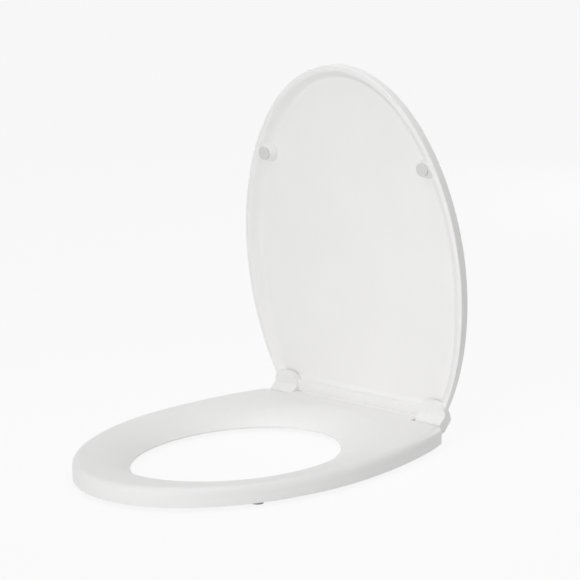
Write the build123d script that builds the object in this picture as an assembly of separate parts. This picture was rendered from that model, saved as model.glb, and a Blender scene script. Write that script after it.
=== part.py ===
from build123d import *
import math
import os

# Toilet seat: a ring and a lid of moulded plastic, hinged on two posts that bolt to the bowl.
# X runs along the hinge, the front of the seat points to -Y and Z is up.
# The origin lies on the top of the bowl, midway between the two fixing bolts.
# Shapes are drawn from the hinge, with Y = 0 on its axis, and moved into that frame at the end.
# The ring lies down and the lid stands open.

# Outline shared by ring and lid, measured from the hinge axis and the seat's middle
AXIS_TO_FRONT = 470.0
HALF_WIDTH = 184.0
SHOULDER = 193.0
SHOULDER_PULL = 25.0
SIDE_PULL_IN = 2.0
SIDE_PULL_Y = 80.0

# Ring
RING_BOTTOM = 5.5
RING_DEPTH = 23.0
RING_REAR = 13.5
RING_REAR_CUT = 5.5
RING_CORNER_IN = 28.0
RING_CORNER_ROUND = 12.0
RING_EDGE_ROUND = 9.0
RING_WALL = 3.0
RING_RIB = 2.2
RING_RIB_COUNT = 16
RIB_RECESS = 2.0

# Opening of the ring, an ellipse with a wide rounded slope down to a thin lip
RING_FRONT_BAND = 80.5
RING_SIDE_BAND = 70.5
OPENING_REAR = 80.5
SLOPE_WIDTH = 52.0
SLOPE_START_ANGLE = 45.0
SLOPE_END_ANGLE = 88.0
SLOPE_STEPS = 5
LIP_HEIGHT = 2.2

# Tongue at the back of the ring, which carries the ring's hinge knuckles
TONGUE_BACK = 7.0
TONGUE_BELOW_AXIS = 7.0
TONGUE_ROUND = 2.5
AXIS_BELOW_RING_TOP = 6.0

# Lid
LID_GAP = 3.0
LID_DEPTH = 14.5
LID_CROWN = 4.0
LID_OVERHANG = 1.0
LID_REAR = 4.5
LID_CORNER_IN = 43.0
LID_CORNER_Y = 12.0
LID_EDGE_ROUND = 4.5
LID_RIM_ROUND = 1.2
LID_LIP = 6.0
LID_REAR_LIP = 15.0
LID_PANEL = 5.0
LID_COVE = 6.0
LID_CORNER_ROUND = 9.0
LID_OPEN_ANGLE = 83.0

# Lugs at the lid's rear corners
LUG_WIDTH = 33.0
LUG_OUTWARD = 8.0
LUG_RADIUS = 8.0
LUG_FRONT = 31.0
LUG_ROOT = 4.0
LUG_PROUD = 2.4
LUG_TIP_ROUND = 16.0
LUG_SIDE_GAP = 0.8

# Hinge posts, pins, bushes and fixings
FIXING_SPACING = 140.0
FIXING_FORWARD = 10.0
POST_WIDTH = 24.0
POST_BACK = 1.0
POST_FRONT = 17.5
POST_BLOCK_TOP = 13.0
POST_RADIUS = 4.0
FOOT_RADIUS = 12.0
FOOT_TOP = 5.0
PAD_THICKNESS = 2.0
PAD_OVERLAP = 0.6
PIN_RADIUS = 2.5
PIN_INTO_LUG = 20.0
BUSH_RADIUS = 3.8
INSERT_RADIUS = 5.5
INSERT_LENGTH = 12.0
THREAD_RADIUS = 3.4

# Buffers, placed by their distance in from the widest side and back from the front
RING_BUFFER_RADIUS = 8.0
RING_BUFFER_EDGE = 1.5
RING_BUFFER_FRONT_IN = 49.0
RING_BUFFER_FRONT_BACK = 124.0
RING_BUFFER_REAR_IN = 34.0
RING_BUFFER_REAR_Y = 95.0
BUFFER_SPIGOT_RADIUS = 3.0
BUFFER_SPIGOT_LENGTH = 7.0
BUFFER_BOSS_WALL = 2.5
LID_BUFFER_RADIUS = 9.0
LID_BUFFER_THICKNESS = 3.5
LID_BUFFER_EDGE = 1.0
LID_BUFFER_IN = 49.0
LID_BUFFER_BACK = 126.0
LID_BUFFER_SPIGOT_RADIUS = 2.8
LID_BUFFER_SPIGOT_LENGTH = 5.0
LID_BUFFER_SOCKET = 0.4
LID_BOSS_RADIUS = 10.0
LID_BOSS_BASE = 14.0
LID_BOSS_ROOT = 1.0

# Clearances
RUNNING_CLEARANCE = 0.08
SEAT_CLEARANCE = 0.03
MOVING_GAP = 0.4
CLOSED_GAP = 0.3

# Levels and places that follow from the sizes above
RING_TOP = RING_BOTTOM + RING_DEPTH
AXIS_Z = RING_TOP - AXIS_BELOW_RING_TOP
RIM_Z = RING_TOP + LID_GAP
LID_TOP = RIM_Z + LID_DEPTH
LIP_TOP = RING_BOTTOM + LIP_HEIGHT
SLOPE_HEIGHT = RING_TOP - LIP_TOP
SIDE_PULL_X = HALF_WIDTH - SIDE_PULL_IN
OPENING_HALF_WIDTH = HALF_WIDTH - RING_SIDE_BAND
OPENING_HALF_LENGTH = (AXIS_TO_FRONT - RING_FRONT_BAND - OPENING_REAR) / 2
OPENING_CENTRE = OPENING_REAR + OPENING_HALF_LENGTH
LID_CORNER_X = HALF_WIDTH - LID_CORNER_IN
LID_SIDE_LEAN = (SIDE_PULL_X - LID_CORNER_X) / (SIDE_PULL_Y - LID_CORNER_Y)
CROWN_REACH = (AXIS_TO_FRONT - LID_REAR) / 2
CROWN_CENTRE = LID_REAR + CROWN_REACH
CROWN_RADIUS = (CROWN_REACH**2 + LID_CROWN**2) / (2 * LID_CROWN)
LUG_INNER_X = LID_CORNER_X - LUG_WIDTH
LUG_OUTER_X = LID_CORNER_X + LUG_OUTWARD
TONGUE_HALF_WIDTH = LUG_INNER_X - LUG_SIDE_GAP
FIXING_X = FIXING_SPACING / 2
POST_INNER_X = FIXING_X - POST_WIDTH / 2
POST_OUTER_X = FIXING_X + POST_WIDTH / 2
PIN_END_X = LUG_INNER_X + PIN_INTO_LUG
LID_BUFFER_X = HALF_WIDTH - LID_BUFFER_IN
LID_BUFFER_Y = LID_BUFFER_BACK - AXIS_TO_FRONT
LID_BUFFER_TIP = RING_TOP + CLOSED_GAP
LID_BUFFER_SEAT = LID_BUFFER_TIP + LID_BUFFER_THICKNESS
HINGE_AXIS = Axis((0, 0, AXIS_Z), (1, 0, 0))
TO_FRAME = Pos(0, FIXING_FORWARD, 0)
SIDES = {"left": -1, "right": 1}
ON_BASE = (Align.CENTER, Align.CENTER, Align.MIN)
FROM_BACK = (Align.CENTER, Align.MAX, Align.MIN)
FROM_FRONT = (Align.CENTER, Align.MIN, Align.MIN)


def peg(radius, height):
    """Round upright bar that stands on its place."""
    return Cylinder(radius, height, align=ON_BASE)


def x_rod(radius, start_x, end_x):
    """Round bar on the hinge axis between two places along it, given in either order."""
    first, last = sorted([start_x, end_x])
    return Pos(first, 0, AXIS_Z) * Rot(0, 90, 0) * peg(radius, last - first)


def seat_face(corner_x, rear, grow):
    """Flat outline of the seat, cut straight across at the rear and moved outwards by grow."""
    half = HALF_WIDTH + grow
    corner = (corner_x + grow, -rear)
    shoulder = (half, -SHOULDER)
    pull_rear = (SIDE_PULL_X + grow, -SIDE_PULL_Y)
    pull_front = (half, -SHOULDER + SHOULDER_PULL)
    side = Bezier(corner, pull_rear, pull_front, shoulder)
    front_reach = AXIS_TO_FRONT + grow - SHOULDER
    front = EllipticalCenterArc((0, -SHOULDER), half, front_reach, 0, arc_size=-90)
    rear_line = Line((0, -rear), corner)
    half_edges = Curve() + [rear_line, side, front]
    return make_face(half_edges + mirror(half_edges, Plane.YZ))


def round_rear(plan, radius):
    """Round the two rear corners of an outline."""
    corners = plan.vertices().group_by(Axis.Y)[-1].sort_by(Axis.X)
    return fillet([corners[0], corners[-1]], radius)


def ring_plan(rear, inset):
    """Outline of the ring with its rounded rear corners, moved inwards by inset."""
    plan = seat_face(HALF_WIDTH - RING_CORNER_IN, rear + inset, -inset)
    return round_rear(plan, RING_CORNER_ROUND - inset)


def lid_face(rear, grow):
    """Outline of the lid, cut across at rear, where its sides lean in towards the hinge."""
    corner_x = LID_CORNER_X + LID_SIDE_LEAN * (rear - LID_CORNER_Y)
    return seat_face(corner_x, rear, grow)


def opening_face(grow, z):
    """Ellipse of the ring's opening at height z, moved outwards by grow."""
    centre = Pos(0, -OPENING_CENTRE, z)
    return centre * Ellipse(OPENING_HALF_WIDTH + grow, OPENING_HALF_LENGTH + grow)


def slope_sections(inwards):
    """Sections of the opening up its rounded slope, part of an ellipse, moved into the material by inwards."""
    start = math.radians(SLOPE_START_ANGLE)
    end = math.radians(SLOPE_END_ANGLE)
    across = SLOPE_WIDTH / (math.cos(start) - math.cos(end))
    rise = SLOPE_HEIGHT / (math.sin(end) - math.sin(start))
    sections = []
    for step in range(SLOPE_STEPS + 1):
        angle = start + (end - start) * step / SLOPE_STEPS
        normal = Vector(rise * math.cos(angle), across * math.sin(angle)).normalized()
        out = across * (math.cos(start) - math.cos(angle)) + inwards * normal.X
        up = LIP_TOP + rise * (math.sin(angle) - math.sin(start)) - inwards * normal.Y
        sections.append(opening_face(out, up))
    return sections


def opening_solid(inwards):
    """Everything above the lip and inside the slope, run on past the ring's top and bottom."""
    sections = slope_sections(inwards)
    below = extrude(opening_face(inwards, 0), LIP_TOP)
    above = extrude(sections[-1], RING_DEPTH)
    return below + loft(sections) + above


def ring_buffer_places():
    """Name and place of each buffer under the ring."""
    rows = {
        "front": (HALF_WIDTH - RING_BUFFER_FRONT_IN, RING_BUFFER_FRONT_BACK - AXIS_TO_FRONT),
        "rear": (HALF_WIDTH - RING_BUFFER_REAR_IN, -RING_BUFFER_REAR_Y),
    }
    return {
        f"{row}_{side}": (sign * x, y)
        for row, (x, y) in rows.items()
        for side, sign in SIDES.items()
    }


def ring_ribs():
    """Upright ribs that cross the hollow under the ring, square to the opening."""
    height = RING_DEPTH - RIB_RECESS
    reach = 2 * HALF_WIDTH
    ribs = Part()
    for index in range(RING_RIB_COUNT):
        turn = math.radians((index + 0.5) * 360 / RING_RIB_COUNT)
        x = OPENING_HALF_WIDTH * math.cos(turn)
        y = OPENING_HALF_LENGTH * math.sin(turn)
        square = math.degrees(math.atan2(y / OPENING_HALF_LENGTH**2, x / OPENING_HALF_WIDTH**2))
        foot = Pos(x, y - OPENING_CENTRE, RING_BOTTOM + RIB_RECESS) * Rot(0, 0, square)
        ribs += foot * Box(reach, RING_RIB, height, align=(Align.MIN, Align.CENTER, Align.MIN))
    return ribs


def ring_hollow():
    """Hollow under the ring, with its ribs and buffer bosses left standing."""
    hollow = extrude(ring_plan(RING_REAR, RING_WALL), RING_TOP - RING_WALL)
    roof = hollow.edges().group_by(Axis.Z)[-1]
    hollow = fillet(roof, RING_EDGE_ROUND - RING_WALL)
    hollow -= opening_solid(RING_WALL)
    hollow -= ring_ribs()
    boss = peg(BUFFER_SPIGOT_RADIUS + BUFFER_BOSS_WALL, RING_DEPTH)
    for x, y in ring_buffer_places().values():
        hollow -= Pos(x, y, RING_BOTTOM) * boss
    return hollow


def tongue():
    """Rear tongue of the ring: a box over the hinge, hollow in its middle."""
    front = RING_REAR + RING_EDGE_ROUND + RING_WALL
    bottom = AXIS_Z - TONGUE_BELOW_AXIS
    depth = RING_TOP - bottom
    length = front + TONGUE_BACK
    body = Pos(0, TONGUE_BACK, bottom) * Box(2 * TONGUE_HALF_WIDTH, length, depth, align=FROM_BACK)
    back_edges = body.edges().filter_by(Axis.X).group_by(Axis.Y)[-1]
    body = fillet(back_edges, TONGUE_ROUND)
    middle_width = 2 * (POST_INNER_X - MOVING_GAP - RING_WALL)
    middle = Box(middle_width, length - 2 * RING_WALL, depth - RING_WALL, align=FROM_BACK)
    return body - Pos(0, TONGUE_BACK - RING_WALL, bottom) * middle


def post_slots():
    """Room in the tongue for the two posts, open downwards and to the rear."""
    top = AXIS_Z + POST_RADIUS + MOVING_GAP
    front = FIXING_FORWARD + FOOT_RADIUS + PAD_OVERLAP
    slot = Box(POST_WIDTH + 2 * MOVING_GAP, front + 2 * TONGUE_BACK, top, align=FROM_BACK)
    return Part() + [Pos(sign * FIXING_X, 2 * TONGUE_BACK, 0) * slot for sign in SIDES.values()]


def seat_ring():
    """Ring: rounded outside edge cut straight at the rear, wide slope to the opening, hollow below."""
    ring = Pos(0, 0, RING_BOTTOM) * extrude(ring_plan(RING_REAR - RING_REAR_CUT, 0), RING_DEPTH)
    top_edges = ring.edges().group_by(Axis.Z)[-1]
    ring = fillet(top_edges, RING_EDGE_ROUND)
    ring -= Pos(0, -RING_REAR, 0) * Box(2 * HALF_WIDTH, RING_REAR, RING_TOP, align=FROM_FRONT)
    ring -= opening_solid(0)
    ring -= ring_hollow()
    ring += tongue()
    ring -= post_slots()
    for sign in SIDES.values():
        ring -= x_rod(BUSH_RADIUS + SEAT_CLEARANCE, sign * POST_INNER_X, sign * LUG_INNER_X)
    socket = peg(BUFFER_SPIGOT_RADIUS + SEAT_CLEARANCE, BUFFER_SPIGOT_LENGTH + SEAT_CLEARANCE)
    for x, y in ring_buffer_places().values():
        ring -= Pos(x, y, RING_BOTTOM) * socket
    return ring


def lid_ball(top):
    """Large ball whose crown gives the lid its slight dome, level with top at the lid's ends."""
    return Pos(0, -CROWN_CENTRE, top + LID_CROWN - CROWN_RADIUS) * Sphere(CROWN_RADIUS)


def lid_inner_level(x, y):
    """Height of the lid's domed inner face over a place, with the lid closed."""
    away = math.hypot(x, y + CROWN_CENTRE)
    return LID_TOP - LID_PANEL + LID_CROWN - CROWN_RADIUS + math.sqrt(CROWN_RADIUS**2 - away**2)


def lid_tray():
    """Shell of the closed lid: crowned, open downwards, coved inside and soft at all but the rear rim."""
    tray = Pos(0, 0, RIM_Z) * extrude(lid_face(LID_REAR, LID_OVERHANG), LID_DEPTH + LID_CROWN)
    tray = tray & lid_ball(LID_TOP)
    crown = tray.faces().sort_by(Axis.Z)[-1]
    tray = fillet(crown.edges(), LID_EDGE_ROUND)
    inside = round_rear(lid_face(LID_REAR + LID_REAR_LIP, -LID_LIP), LID_CORNER_ROUND)
    recess = Pos(0, 0, RIM_Z) * extrude(inside, LID_DEPTH + LID_CROWN)
    recess = recess & lid_ball(LID_TOP - LID_PANEL)
    floor = recess.faces().sort_by(Axis.Z)[-1]
    tray -= fillet(floor.edges(), LID_COVE)
    rim_edges = tray.faces().sort_by(Axis.Z)[0].edges().sort_by(Axis.Y)
    return fillet(rim_edges[:-1], LID_RIM_ROUND)


def lid_lug(sign):
    """Lug at one rear corner: a pad proud of the rim, and a heel down to a barrel round the hinge pin."""
    rim = RIM_Z - AXIS_Z
    front_top = (-LUG_FRONT, rim + LUG_ROOT)
    back_top = (-LID_REAR, rim + LID_DEPTH - LID_EDGE_ROUND)
    heel = (MOVING_GAP - RING_REAR, rim - LUG_PROUD)
    pad = make_face(Polyline((-LUG_FRONT, heel[1]), front_top, back_top, heel, close=True))
    root = make_hull([*Circle(LUG_RADIUS).edges(), Line(heel, back_top)])
    profile = pad + root
    side_view = Plane.YZ.offset(sign * LUG_INNER_X) * Pos(0, AXIS_Z)
    lug = extrude(side_view * profile, sign * (LUG_OUTER_X - LUG_INNER_X))
    tips = lug.edges().filter_by(Axis.Z).group_by(Axis.Y)[0]
    return fillet(tips, LUG_TIP_ROUND)


def lid_boss():
    """Cone on the lid's inner face that carries a buffer on its narrow end, with the lid closed."""
    face = LID_BUFFER_SEAT - LID_BUFFER_SOCKET
    height = lid_inner_level(LID_BUFFER_X, LID_BUFFER_Y) + LID_BOSS_ROOT - face
    boss = Pos(0, 0, face) * Cone(LID_BOSS_RADIUS, LID_BOSS_BASE, height, align=ON_BASE)
    boss -= Pos(0, 0, face) * peg(LID_BUFFER_RADIUS + SEAT_CLEARANCE, LID_BUFFER_SOCKET)
    hole_depth = LID_BUFFER_SPIGOT_LENGTH + SEAT_CLEARANCE
    return boss - Pos(0, 0, LID_BUFFER_SEAT) * peg(LID_BUFFER_SPIGOT_RADIUS + SEAT_CLEARANCE, hole_depth)


def lid_closed():
    """Lid in its closed place: the tray with its two lugs, bored for the bushes, and its buffer bosses."""
    tray = lid_tray()
    boss = lid_boss()
    for sign in SIDES.values():
        tray += lid_lug(sign)
        bore_start = sign * (LUG_INNER_X - MOVING_GAP)
        tray -= x_rod(BUSH_RADIUS + SEAT_CLEARANCE, bore_start, sign * (PIN_END_X + MOVING_GAP))
        tray += Pos(sign * LID_BUFFER_X, LID_BUFFER_Y, 0) * boss
    return tray


def lid_buffer(sign):
    """Round buffer on a boss of the lid, which lands on the ring."""
    pad = Pos(0, 0, LID_BUFFER_TIP) * peg(LID_BUFFER_RADIUS, LID_BUFFER_THICKNESS)
    pad = fillet(pad.edges().group_by(Axis.Z)[0], LID_BUFFER_EDGE)
    pad += Pos(0, 0, LID_BUFFER_SEAT) * peg(LID_BUFFER_SPIGOT_RADIUS, LID_BUFFER_SPIGOT_LENGTH)
    return Pos(sign * LID_BUFFER_X, LID_BUFFER_Y, 0) * pad


def bush(start_x, end_x):
    """Plain bush on the hinge axis, running on the pin."""
    return x_rod(BUSH_RADIUS, start_x, end_x) - x_rod(PIN_RADIUS + RUNNING_CLEARANCE, start_x, end_x)


def hinge_post(sign):
    """Post under the tongue: a foot on its pad, a block for the insert and a barrel for the pin."""
    side_view = Plane.YZ.offset(sign * FIXING_X - POST_WIDTH / 2)
    barrel = Pos(0, AXIS_Z) * Circle(POST_RADIUS)
    block = Polyline(
        (-POST_FRONT, FOOT_TOP),
        (POST_BACK, FOOT_TOP),
        (POST_BACK, POST_BLOCK_TOP),
        (-POST_FRONT, POST_BLOCK_TOP),
        close=True,
    )
    profile = make_hull([*barrel.edges(), *block.edges()])
    post = extrude(side_view * profile, POST_WIDTH)
    foot_place = Pos(sign * FIXING_X, -FIXING_FORWARD, PAD_THICKNESS)
    post += foot_place * peg(FOOT_RADIUS, FOOT_TOP - PAD_THICKNESS)
    post -= Pos(sign * FIXING_X, -FIXING_FORWARD, 0) * peg(INSERT_RADIUS + SEAT_CLEARANCE, INSERT_LENGTH)
    return post - x_rod(PIN_RADIUS + SEAT_CLEARANCE, sign * POST_INNER_X, sign * POST_OUTER_X)


def post_pad(sign):
    """Rubber pad between a post's foot and the bowl."""
    pad = peg(FOOT_RADIUS + PAD_OVERLAP, PAD_THICKNESS) - peg(INSERT_RADIUS + SEAT_CLEARANCE, PAD_THICKNESS)
    return Pos(sign * FIXING_X, -FIXING_FORWARD, 0) * pad


def thread_insert(sign):
    """Threaded bush through a post's foot and pad down to the bowl, for the fixing bolt."""
    insert = peg(INSERT_RADIUS, INSERT_LENGTH) - peg(THREAD_RADIUS, INSERT_LENGTH)
    return Pos(sign * FIXING_X, -FIXING_FORWARD, 0) * insert


def ring_buffer(x, y):
    """Rubber foot under the ring, pressed into its boss by a spigot."""
    foot = peg(RING_BUFFER_RADIUS, RING_BOTTOM)
    foot = fillet(foot.edges().group_by(Axis.Z)[0], RING_BUFFER_EDGE)
    return Pos(x, y, 0) * (foot + Pos(0, 0, RING_BOTTOM) * peg(BUFFER_SPIGOT_RADIUS, BUFFER_SPIGOT_LENGTH))


def opened(solid):
    """Turn a piece of the closed lid to the lid's open place."""
    return solid.rotate(HINGE_AXIS, -LID_OPEN_ANGLE)


def build_nodes():
    """Every node of the seat by name."""
    nodes = {"seat_ring": seat_ring(), "lid": opened(lid_closed())}
    knuckle_x = POST_OUTER_X + MOVING_GAP
    for side, sign in SIDES.items():
        nodes[f"hinge_post_{side}"] = hinge_post(sign)
        nodes[f"post_pad_{side}"] = post_pad(sign)
        nodes[f"thread_insert_{side}"] = thread_insert(sign)
        nodes[f"hinge_pin_{side}"] = x_rod(PIN_RADIUS, sign * POST_INNER_X, sign * PIN_END_X)
        nodes[f"ring_bush_{side}"] = bush(sign * knuckle_x, sign * TONGUE_HALF_WIDTH)
        nodes[f"lid_bush_{side}"] = opened(bush(sign * LUG_INNER_X, sign * PIN_END_X))
        nodes[f"lid_buffer_{side}"] = opened(lid_buffer(sign))
    for place, (x, y) in ring_buffer_places().items():
        nodes[f"ring_buffer_{place}"] = ring_buffer(x, y)
    return nodes


os.makedirs("parts", exist_ok=True)
for name, solid in build_nodes().items():
    export_step(TO_FRAME * solid, f"parts/{name}.step")
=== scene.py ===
import math

import bpy
from mathutils import Matrix, Vector


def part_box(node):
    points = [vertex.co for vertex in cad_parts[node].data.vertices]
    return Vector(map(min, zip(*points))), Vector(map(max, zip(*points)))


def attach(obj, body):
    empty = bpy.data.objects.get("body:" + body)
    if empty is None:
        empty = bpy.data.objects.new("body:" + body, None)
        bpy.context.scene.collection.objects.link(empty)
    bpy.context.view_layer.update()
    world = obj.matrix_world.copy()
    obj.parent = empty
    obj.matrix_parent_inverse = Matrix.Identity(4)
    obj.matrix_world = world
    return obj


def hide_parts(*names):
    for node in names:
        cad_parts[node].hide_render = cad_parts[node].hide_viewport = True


# A white toilet seat, off its bowl, with the ring lying level and the lid standing open.
# Lengths are metres in the frame's own axes: X along the hinge, -Y to the front, Z up.

MM = 0.001

# Camera, matched to the photograph: a long lens from the front right, a little above the seat
IMAGE_SIZE = 580
FOCAL_PIXELS = 1811.5
HINGE_PIXEL = (354.8, 408.4)
CAMERA_TURN = math.radians(41.30)
CAMERA_RISE = math.radians(11.11)
CAMERA_DISTANCE = 2.474
SENSOR_MM = 36.0

# Studio: a pale floor, and even light from all round that is seen as the white background
FLOOR_SIZE = 60.0
FLOOR_COLOUR = "#F5F5F5"
BACKGROUND_COLOUR = "#FEFEFE"
SKY_COLOUR = "#FFFFFF"
SKY_STRENGTH = 0.44
# Share of the floor's look that is plain background. The rest takes the light and the shadow.
FLOOR_BACKGROUND_SHARE = 0.90
# A large front lamp, weaker ones right, overhead and behind, and a narrow one on the corner
# between lid and ring, each as (place, aim, size, watts, spread in degrees)
LAMPS = {
    "front_lamp": ((0.3, -3.2, 0.6), "seat", 1.6, 21.0, 180),
    "right_lamp": ((1.3, -2.4, 0.6), "seat", 0.9, 9.0, 180),
    "top_lamp": ((0.0, -0.2, 1.4), "seat", 0.9, 4.0, 180),
    "corner_lamp": ((0.3, -1.3, 1.3), "corner", 0.5, 0.17, 30),
    "rear_lamp": ((-0.3, 2.8, 0.5), "seat", 0.9, 13.0, 180),
}
CORNER_FROM_HINGE = (0.10, 0, 0.04)
# Lamps left out of reflections, which would clip to white on the shut lid seen from behind
UNREFLECTED_LAMPS = ("front_lamp", "right_lamp")

# Sockets of a colour Mix node, which share their names with those of its other kinds
MIX_A, MIX_B, MIX_RESULT = 6, 7, 2
# Waves per metre in a Wave texture of scale 1
WAVES_PER_METRE = 20 / (2 * math.pi)

# The lid's own finish: an even skin, and the slope inside its wall, drawn with the lid closed
MERGE_MM = 0.005
SHARP_ANGLE = math.radians(32)
LID_OPEN = math.radians(83)
LID_RIM_ABOVE_HINGE_MM = 9.0
SLOPE_STEPS = 40
# Bezier points along the wall as (handle before, place, handle after), from the hinge axis
SLOPE_PATH_MM = [
    ((139.5, -19.5), (139.5, -19.5), (176.0, -80.0)),
    ((178.0, -168.0), (178.0, -193.0), (178.0, -342.7)),
    ((98.3, -464.0), (0.0, -464.0), (-98.3, -464.0)),
    ((-178.0, -342.7), (-178.0, -193.0), (-178.0, -168.0)),
    ((-176.0, -80.0), (-139.5, -19.5), (-139.5, -19.5)),
]
# Section of the slope as (inwards from the wall, up from the rim)
SLOPE_SECTION_MM = [
    (-1.5, 0.1), (0.0, 0.3), (1.4, 1.1), (2.8, 2.5), (4.2, 4.3), (5.6, 6.1), (7.0, 7.7),
    (8.6, 9.1), (10.4, 10.2), (12.4, 11.0), (14.6, 11.6), (17.0, 12.0), (17.0, 13.0), (-1.5, 13.0),
]


def linear(hex_colour):
    """Linear RGBA of an sRGB hex colour."""
    levels = [int(hex_colour[place:place + 2], 16) / 255 for place in (1, 3, 5)]
    return [
        level / 12.92 if level <= 0.04045 else ((level + 0.055) / 1.055)**2.4 for level in levels
    ] + [1.0]


def add_node(owner, kind, inputs=None, **settings):
    """Add a shader node with its settings, and give its inputs their values or links."""
    tree = owner.node_tree
    node = tree.nodes.new(kind)
    for name, value in settings.items():
        setattr(node, name, value)
    for socket, value in (inputs or {}).items():
        if isinstance(value, bpy.types.NodeSocket):
            tree.links.new(value, node.inputs[socket])
        else:
            node.inputs[socket].default_value = value
    return node


def empty_material(name):
    """A material with no nodes yet."""
    material = bpy.data.materials.new(name)
    material.use_nodes = True
    material.node_tree.nodes.clear()
    return material


def per_mm(size_mm):
    """Texture scale that gives a pattern of the given size in millimetres."""
    return 1 / (size_mm * MM)


def moulded_surface(name, pale, dark, roughness, ior, cloud_mm, ripple_mm, ripple_depth_mm):
    """Moulded plastic or rubber: a faint cloud of two tones, uneven gloss and a shallow ripple."""
    material = empty_material(name)
    place = add_node(material, "ShaderNodeTexCoord").outputs["Object"]
    cloud = add_node(
        material,
        "ShaderNodeTexNoise",
        {"Vector": place, "Scale": per_mm(cloud_mm), "Detail": 2.0},
    )
    tone = add_node(
        material,
        "ShaderNodeMix",
        {"Factor": cloud.outputs["Fac"], MIX_A: linear(dark), MIX_B: linear(pale)},
        data_type="RGBA",
    )
    ripple = add_node(
        material,
        "ShaderNodeTexNoise",
        {"Vector": place, "Scale": per_mm(ripple_mm), "Detail": 1.0},
    )
    gloss = add_node(
        material,
        "ShaderNodeMapRange",
        {"Value": cloud.outputs["Fac"], "To Min": roughness[0], "To Max": roughness[1]},
    )
    bump = add_node(
        material,
        "ShaderNodeBump",
        {"Height": ripple.outputs["Fac"], "Distance": ripple_depth_mm * MM, "Strength": 1.0},
    )
    shader = add_node(
        material,
        "ShaderNodeBsdfPrincipled",
        {
            "Base Color": tone.outputs[MIX_RESULT],
            "Roughness": gloss.outputs["Result"],
            "IOR": ior,
            "Normal": bump.outputs["Normal"],
        },
    )
    add_node(material, "ShaderNodeOutputMaterial", {"Surface": shader.outputs["BSDF"]})
    return material


def turned_metal(name, bright, dull, roughness, ring_mm):
    """Turned metal: fine rings along the turning axis, streaked in tone and gloss."""
    material = empty_material(name)
    place = add_node(material, "ShaderNodeTexCoord").outputs["Object"]
    rings = add_node(
        material,
        "ShaderNodeTexWave",
        {"Vector": place, "Scale": per_mm(ring_mm) / WAVES_PER_METRE, "Distortion": 1.5},
    )
    tone = add_node(
        material,
        "ShaderNodeMix",
        {"Factor": rings.outputs["Fac"], MIX_A: linear(dull), MIX_B: linear(bright)},
        data_type="RGBA",
    )
    gloss = add_node(
        material,
        "ShaderNodeMapRange",
        {"Value": rings.outputs["Fac"], "To Min": roughness[0], "To Max": roughness[1]},
    )
    shader = add_node(
        material,
        "ShaderNodeBsdfPrincipled",
        {
            "Base Color": tone.outputs[MIX_RESULT],
            "Roughness": gloss.outputs["Result"],
            "Metallic": 1.0,
        },
    )
    add_node(material, "ShaderNodeOutputMaterial", {"Surface": shader.outputs["BSDF"]})
    return material


def seat_materials():
    """The finish of each material slot. Grain and rings are drawn coarser than real, to show."""
    return {
        # Injection-moulded polypropylene: bright white and satin, with faint sink ripples
        "white_moulding": moulded_surface(
            "moulded_white_polypropylene",
            pale="#F3F3F2",
            dark="#EFEEEE",
            roughness=(0.32, 0.40),
            ior=1.49,
            cloud_mm=90,
            ripple_mm=24,
            ripple_depth_mm=0.012,
        ),
        # Moulded nylon: off-white, satin, with a fine matt grain
        "white_nylon": moulded_surface(
            "moulded_nylon",
            pale="#E9E8E3",
            dark="#E1E0DA",
            roughness=(0.42, 0.52),
            ior=1.53,
            cloud_mm=12,
            ripple_mm=2.5,
            ripple_depth_mm=0.01,
        ),
        # Soft moulded vinyl studs: a greyer white than the lid, satin
        "buffer_plastic": moulded_surface(
            "soft_white_vinyl",
            pale="#DBDBDA",
            dark="#D3D3D2",
            roughness=(0.38, 0.48),
            ior=1.52,
            cloud_mm=8,
            ripple_mm=2,
            ripple_depth_mm=0.01,
        ),
        # Moulded rubber: mid grey and matt, with a fine powdery grain
        "grey_rubber": moulded_surface(
            "moulded_grey_rubber",
            pale="#BDBBBA",
            dark="#ADABAA",
            roughness=(0.62, 0.74),
            ior=1.52,
            cloud_mm=6,
            ripple_mm=1.5,
            ripple_depth_mm=0.02,
        ),
        # Acetal bushes: cream white and slippery, with a low sheen
        "bush_plastic": moulded_surface(
            "moulded_acetal",
            pale="#EAE8DF",
            dark="#E2E0D6",
            roughness=(0.30, 0.38),
            ior=1.48,
            cloud_mm=8,
            ripple_mm=2,
            ripple_depth_mm=0.008,
        ),
        # Drawn and turned stainless steel: grey and bright, with fine rings along the pin
        "stainless_steel": turned_metal(
            "turned_stainless_steel",
            bright="#C9C9C6",
            dull="#B9B9B7",
            roughness=(0.24, 0.34),
            ring_mm=1.58,
        ),
        # Turned brass: yellow and bright, with fine rings
        "brass": turned_metal(
            "turned_brass",
            bright="#D3B36A",
            dull="#C3A257",
            roughness=(0.26, 0.36),
            ring_mm=1.58,
        ),
    }


def dress_nodes(frame, materials):
    """Give every CAD node the finish of its slot."""
    slots = {
        "seat_ring": "white_moulding",
        "lid": "white_moulding",
        "hinge_post": "white_nylon",
        "post_pad": "grey_rubber",
        "thread_insert": "brass",
        "hinge_pin": "stainless_steel",
        "ring_bush": "bush_plastic",
        "lid_bush": "bush_plastic",
        "lid_buffer": "buffer_plastic",
        "ring_buffer": "grey_rubber",
    }
    for name, node in frame["nodes"].items():
        family = max((start for start in slots if name.startswith(start)), key=len)
        for slot in node.material_slots:
            slot.material = materials[slots[family]]


def pick(piece):
    """Select one object alone and make it the active one."""
    bpy.ops.object.select_all(action="DESELECT")
    piece.select_set(True)
    bpy.context.view_layer.objects.active = piece


def merge_doubles(turn_outwards=False):
    """Merge the doubled points of the active mesh, and turn its faces outwards if asked."""
    bpy.ops.object.mode_set(mode="EDIT")
    bpy.ops.mesh.select_all(action="SELECT")
    bpy.ops.mesh.remove_doubles(threshold=MERGE_MM * MM)
    if turn_outwards:
        bpy.ops.mesh.normals_make_consistent(inside=False)
    bpy.ops.object.mode_set(mode="OBJECT")


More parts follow.
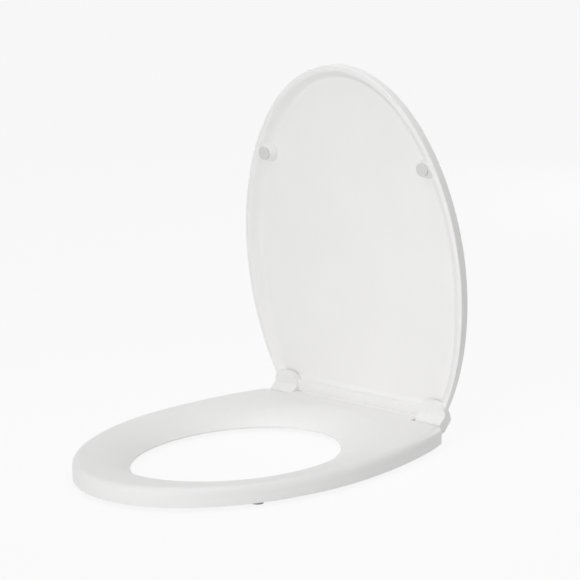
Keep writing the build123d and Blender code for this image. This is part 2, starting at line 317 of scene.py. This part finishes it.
def fresh_copy(node, name):
    """A copy of a CAD node, merged into one skin, with its normals taken from its faces."""
    pick(node)
    bpy.ops.object.duplicate()
    copy = bpy.context.object
    copy.name = name
    bpy.ops.mesh.customdata_custom_splitnormals_clear()
    merge_doubles()
    return copy


def shade_evenly(piece):
    """Shade a piece smooth up to its sharp edges, large faces leading their small neighbours."""
    pick(piece)
    bpy.ops.object.shade_smooth_by_angle(angle=SHARP_ANGLE)
    shading = piece.modifiers.new("even_shading", "WEIGHTED_NORMAL")
    shading.keep_sharp = True
    bpy.ops.object.modifier_apply(modifier=shading.name)


def flat_curve(name, points_mm, closed):
    """A flat Bezier curve through rows of (handle before, place, handle after)."""
    bpy.ops.object.select_all(action="DESELECT")
    bpy.ops.curve.primitive_bezier_curve_add()
    curve = bpy.context.object
    curve.name = name
    curve.data.dimensions = "2D"
    line = curve.data.splines[0]
    line.bezier_points.add(len(points_mm) - len(line.bezier_points))
    line.use_cyclic_u = closed
    for point, row in zip(line.bezier_points, points_mm):
        point.handle_left_type = "FREE"
        point.handle_right_type = "FREE"
        point.handle_left, point.co, point.handle_right = (
            Vector((x, y, 0)) * MM for x, y in row
        )
    return curve


def lid_wall_slope(hinge, material):
    """Slope from the lid's lip to its panel, swept along the wall and turned up with the lid."""
    corners = [(place, place, place) for place in SLOPE_SECTION_MM]
    section = flat_curve("wall_slope_section", corners, closed=True)
    section.data.resolution_u = 1
    slope = flat_curve("lid_wall_slope", SLOPE_PATH_MM, closed=False)
    slope.data.resolution_u = SLOPE_STEPS
    slope.data.bevel_mode = "OBJECT"
    slope.data.bevel_object = section
    slope.data.use_fill_caps = True
    bpy.ops.object.convert(target="MESH")
    slope = bpy.context.object
    bpy.data.objects.remove(section)
    from_rim = Matrix.Translation((0, 0, LID_RIM_ABOVE_HINGE_MM * MM))
    opened = Matrix.Translation(hinge) @ Matrix.Rotation(-LID_OPEN, 4, "X")
    slope.matrix_world = opened @ from_rim
    bpy.ops.object.transform_apply(location=True, rotation=True, scale=True)
    merge_doubles(turn_outwards=True)
    bpy.ops.object.shade_smooth_by_angle(angle=SHARP_ANGLE)
    slope.data.materials.clear()
    slope.data.materials.append(material)
    return slope


def background_rays(owner):
    """Output that is 1 for rays that see the background, straight on, mirrored or through glass."""
    rays = add_node(owner, "ShaderNodeLightPath").outputs
    seen = add_node(
        owner,
        "ShaderNodeMath",
        {0: rays["Is Camera Ray"], 1: rays["Is Glossy Ray"]},
        operation="MAXIMUM",
    )
    seen = add_node(
        owner,
        "ShaderNodeMath",
        {0: seen.outputs[0], 1: rays["Is Transmission Ray"]},
        operation="MAXIMUM",
    )
    return seen.outputs[0]


def add_floor():
    """A wide pale floor that reads as the white background and keeps a soft shadow."""
    bpy.ops.object.select_all(action="DESELECT")
    bpy.ops.mesh.primitive_plane_add(size=FLOOR_SIZE)
    floor = bpy.context.object
    floor.name = "floor"
    material = empty_material("studio_paper")
    share = add_node(
        material,
        "ShaderNodeMath",
        {0: background_rays(material), 1: FLOOR_BACKGROUND_SHARE},
        operation="MULTIPLY",
    )
    paper = add_node(material, "ShaderNodeBsdfDiffuse", {"Color": linear(FLOOR_COLOUR)})
    glow = add_node(
        material,
        "ShaderNodeEmission",
        {"Color": linear(BACKGROUND_COLOUR), "Strength": 1.0},
    )
    mix = add_node(
        material,
        "ShaderNodeMixShader",
        {0: share.outputs[0], 1: paper.outputs[0], 2: glow.outputs[0]},
    )
    add_node(material, "ShaderNodeOutputMaterial", {"Surface": mix.outputs[0]})
    floor.data.materials.append(material)


def add_sky():
    """Even light from all round, seen as the white background."""
    world = bpy.data.worlds.new("studio_sky")
    world.use_nodes = True
    world.node_tree.nodes.clear()
    light = add_node(
        world,
        "ShaderNodeBackground",
        {"Color": linear(SKY_COLOUR), "Strength": SKY_STRENGTH},
    )
    backdrop = add_node(
        world,
        "ShaderNodeBackground",
        {"Color": linear(BACKGROUND_COLOUR), "Strength": 1.0},
    )
    mix = add_node(
        world,
        "ShaderNodeMixShader",
        {0: background_rays(world), 1: light.outputs[0], 2: backdrop.outputs[0]},
    )
    add_node(world, "ShaderNodeOutputWorld", {"Surface": mix.outputs[0]})
    bpy.context.scene.world = world


def add_lamp(name, place, aim, size, watts, spread):
    """A soft square lamp that points at its aim, its light held to a spread in degrees."""
    bpy.ops.object.light_add(type="AREA", location=place)
    lamp = bpy.context.object
    lamp.name = name
    lamp.data.size = size
    lamp.data.energy = watts
    lamp.data.spread = math.radians(spread)
    lamp.visible_camera = False
    lamp.visible_glossy = name not in UNREFLECTED_LAMPS
    lamp.rotation_euler = (aim - Vector(place)).to_track_quat("-Z", "Y").to_euler()


def add_camera(hinge):
    """Camera that puts the middle of the hinge on its pixel of the photograph."""
    back = Vector((
        math.sin(CAMERA_TURN) * math.cos(CAMERA_RISE),
        -math.cos(CAMERA_TURN) * math.cos(CAMERA_RISE),
        math.sin(CAMERA_RISE),
    ))
    right = Vector((math.cos(CAMERA_TURN), math.sin(CAMERA_TURN), 0))
    up = back.cross(right)
    metres_per_pixel = CAMERA_DISTANCE / FOCAL_PIXELS
    across = (HINGE_PIXEL[0] - IMAGE_SIZE / 2) * metres_per_pixel
    down = (HINGE_PIXEL[1] - IMAGE_SIZE / 2) * metres_per_pixel
    place = hinge + back * CAMERA_DISTANCE - right * across + up * down
    turn = Matrix((right, up, back)).transposed().to_euler()
    bpy.ops.object.camera_add(location=place, rotation=turn)
    camera = bpy.context.object
    camera.data.sensor_width = SENSOR_MM
    camera.data.lens = FOCAL_PIXELS / IMAGE_SIZE * SENSOR_MM
    bpy.context.scene.camera = camera


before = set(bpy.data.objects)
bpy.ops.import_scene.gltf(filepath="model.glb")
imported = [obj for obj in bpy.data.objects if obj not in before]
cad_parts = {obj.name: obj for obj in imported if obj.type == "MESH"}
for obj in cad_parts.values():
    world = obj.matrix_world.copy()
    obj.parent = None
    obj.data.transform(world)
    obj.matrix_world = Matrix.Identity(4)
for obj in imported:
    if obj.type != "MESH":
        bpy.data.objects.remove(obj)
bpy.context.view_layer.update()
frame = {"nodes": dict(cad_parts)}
pin_low, pin_high = (Vector(corner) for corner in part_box("hinge_pin_left"))
hinge = Vector((0, (pin_low.y + pin_high.y) / 2, (pin_low.z + pin_high.z) / 2))
seat_middle = sum((Vector(corner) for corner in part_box("seat_ring")), Vector()) / 2

finishes = seat_materials()
dress_nodes(frame, finishes)

lid = fresh_copy(frame["nodes"]["lid"], "moulded_lid")
shade_evenly(lid)
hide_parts("lid")
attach(lid, "lid")
wall_slope = lid_wall_slope(hinge, finishes["white_moulding"])
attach(wall_slope, "lid")

add_floor()
add_sky()
aims = {"seat": seat_middle, "corner": hinge + Vector(CORNER_FROM_HINGE)}
for lamp_name, (place, aim, size, watts, spread) in LAMPS.items():
    add_lamp(lamp_name, place, aims[aim], size, watts, spread)
add_camera(hinge)
bpy.context.scene.view_settings.view_transform = "Standard"
